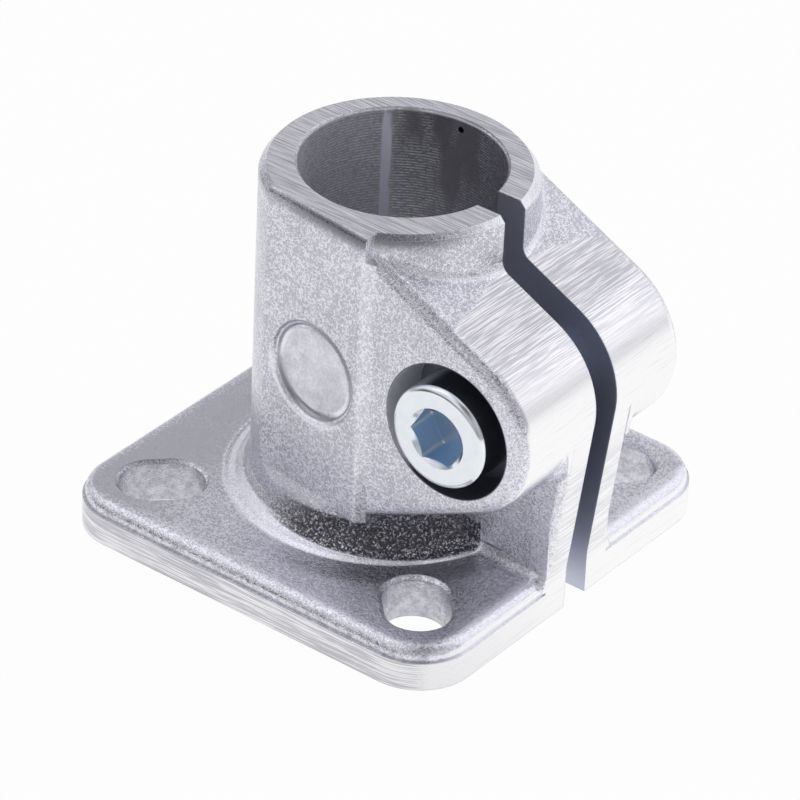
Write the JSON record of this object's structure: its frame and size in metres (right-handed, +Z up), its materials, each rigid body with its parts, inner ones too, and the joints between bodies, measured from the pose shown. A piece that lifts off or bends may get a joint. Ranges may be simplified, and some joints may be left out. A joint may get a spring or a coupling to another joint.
{
  "type": "tube clamp base flange",
  "caption": "Square cast flange with diagonal slots and a split sleeve that a cross screw clamps onto a round tube.",
  "frame": {"origin": "middle of the square plate's underside, on the axis of the tube bore", "axes": "+Z up along the tube; +X towards the slit and the lug; Y along the clamping screw, whose head is at -Y"},
  "size_m": [0.0722, 0.069, 0.06],
  "materials": {
    "cast_aluminium": "blasted casting with ground edges, a milled top ring and a turned bore",
    "zinc_plated_steel": "bright zinc plating with a blue tint"
  },
  "bodies": {
    "root": {"clamp_body": "cast_aluminium", "clamp_screw": "zinc_plated_steel", "clamp_nut": "zinc_plated_steel"}
  },
  "joints": []
}
